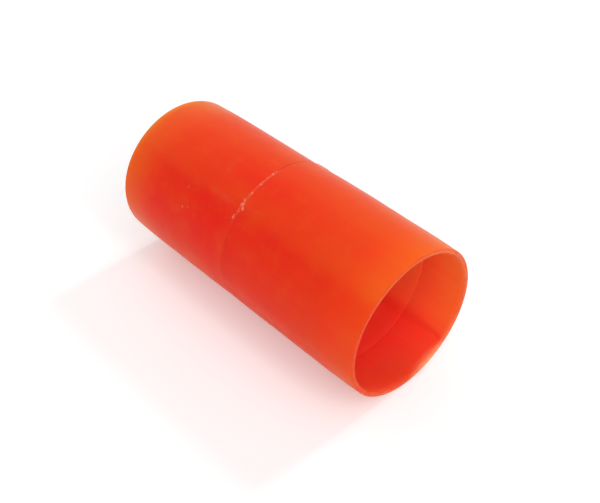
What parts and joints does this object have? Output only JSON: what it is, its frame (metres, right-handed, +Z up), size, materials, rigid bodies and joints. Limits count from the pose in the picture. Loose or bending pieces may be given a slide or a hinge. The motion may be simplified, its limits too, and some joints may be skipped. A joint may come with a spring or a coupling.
{
  "type": "straight duct coupling",
  "caption": "Plain straight coupling for plastic duct: a translucent orange tube with a beaded joint round it, a bonded sleeve inside as a duct stop, and an open socket at each end.",
  "frame": {"origin": "on the tube's axis, at the middle of its length", "axes": "+X along the tube's axis towards the mouth of the longer half, +Z up as it lies on its side, +Y to complete the right-handed frame"},
  "size_m": [0.2586, 0.121, 0.121],
  "materials": {
    "shell_plastic": "satin gloss, translucent orange-red",
    "sleeve_plastic": "satin gloss, translucent red",
    "bead_plastic": "trimmed weld bead, rough and paler where it was cut"
  },
  "bodies": {
    "root": {"near_half": "shell_plastic", "far_half": "shell_plastic", "inner_sleeve": "sleeve_plastic", "seam_bead": "bead_plastic"}
  },
  "joints": []
}
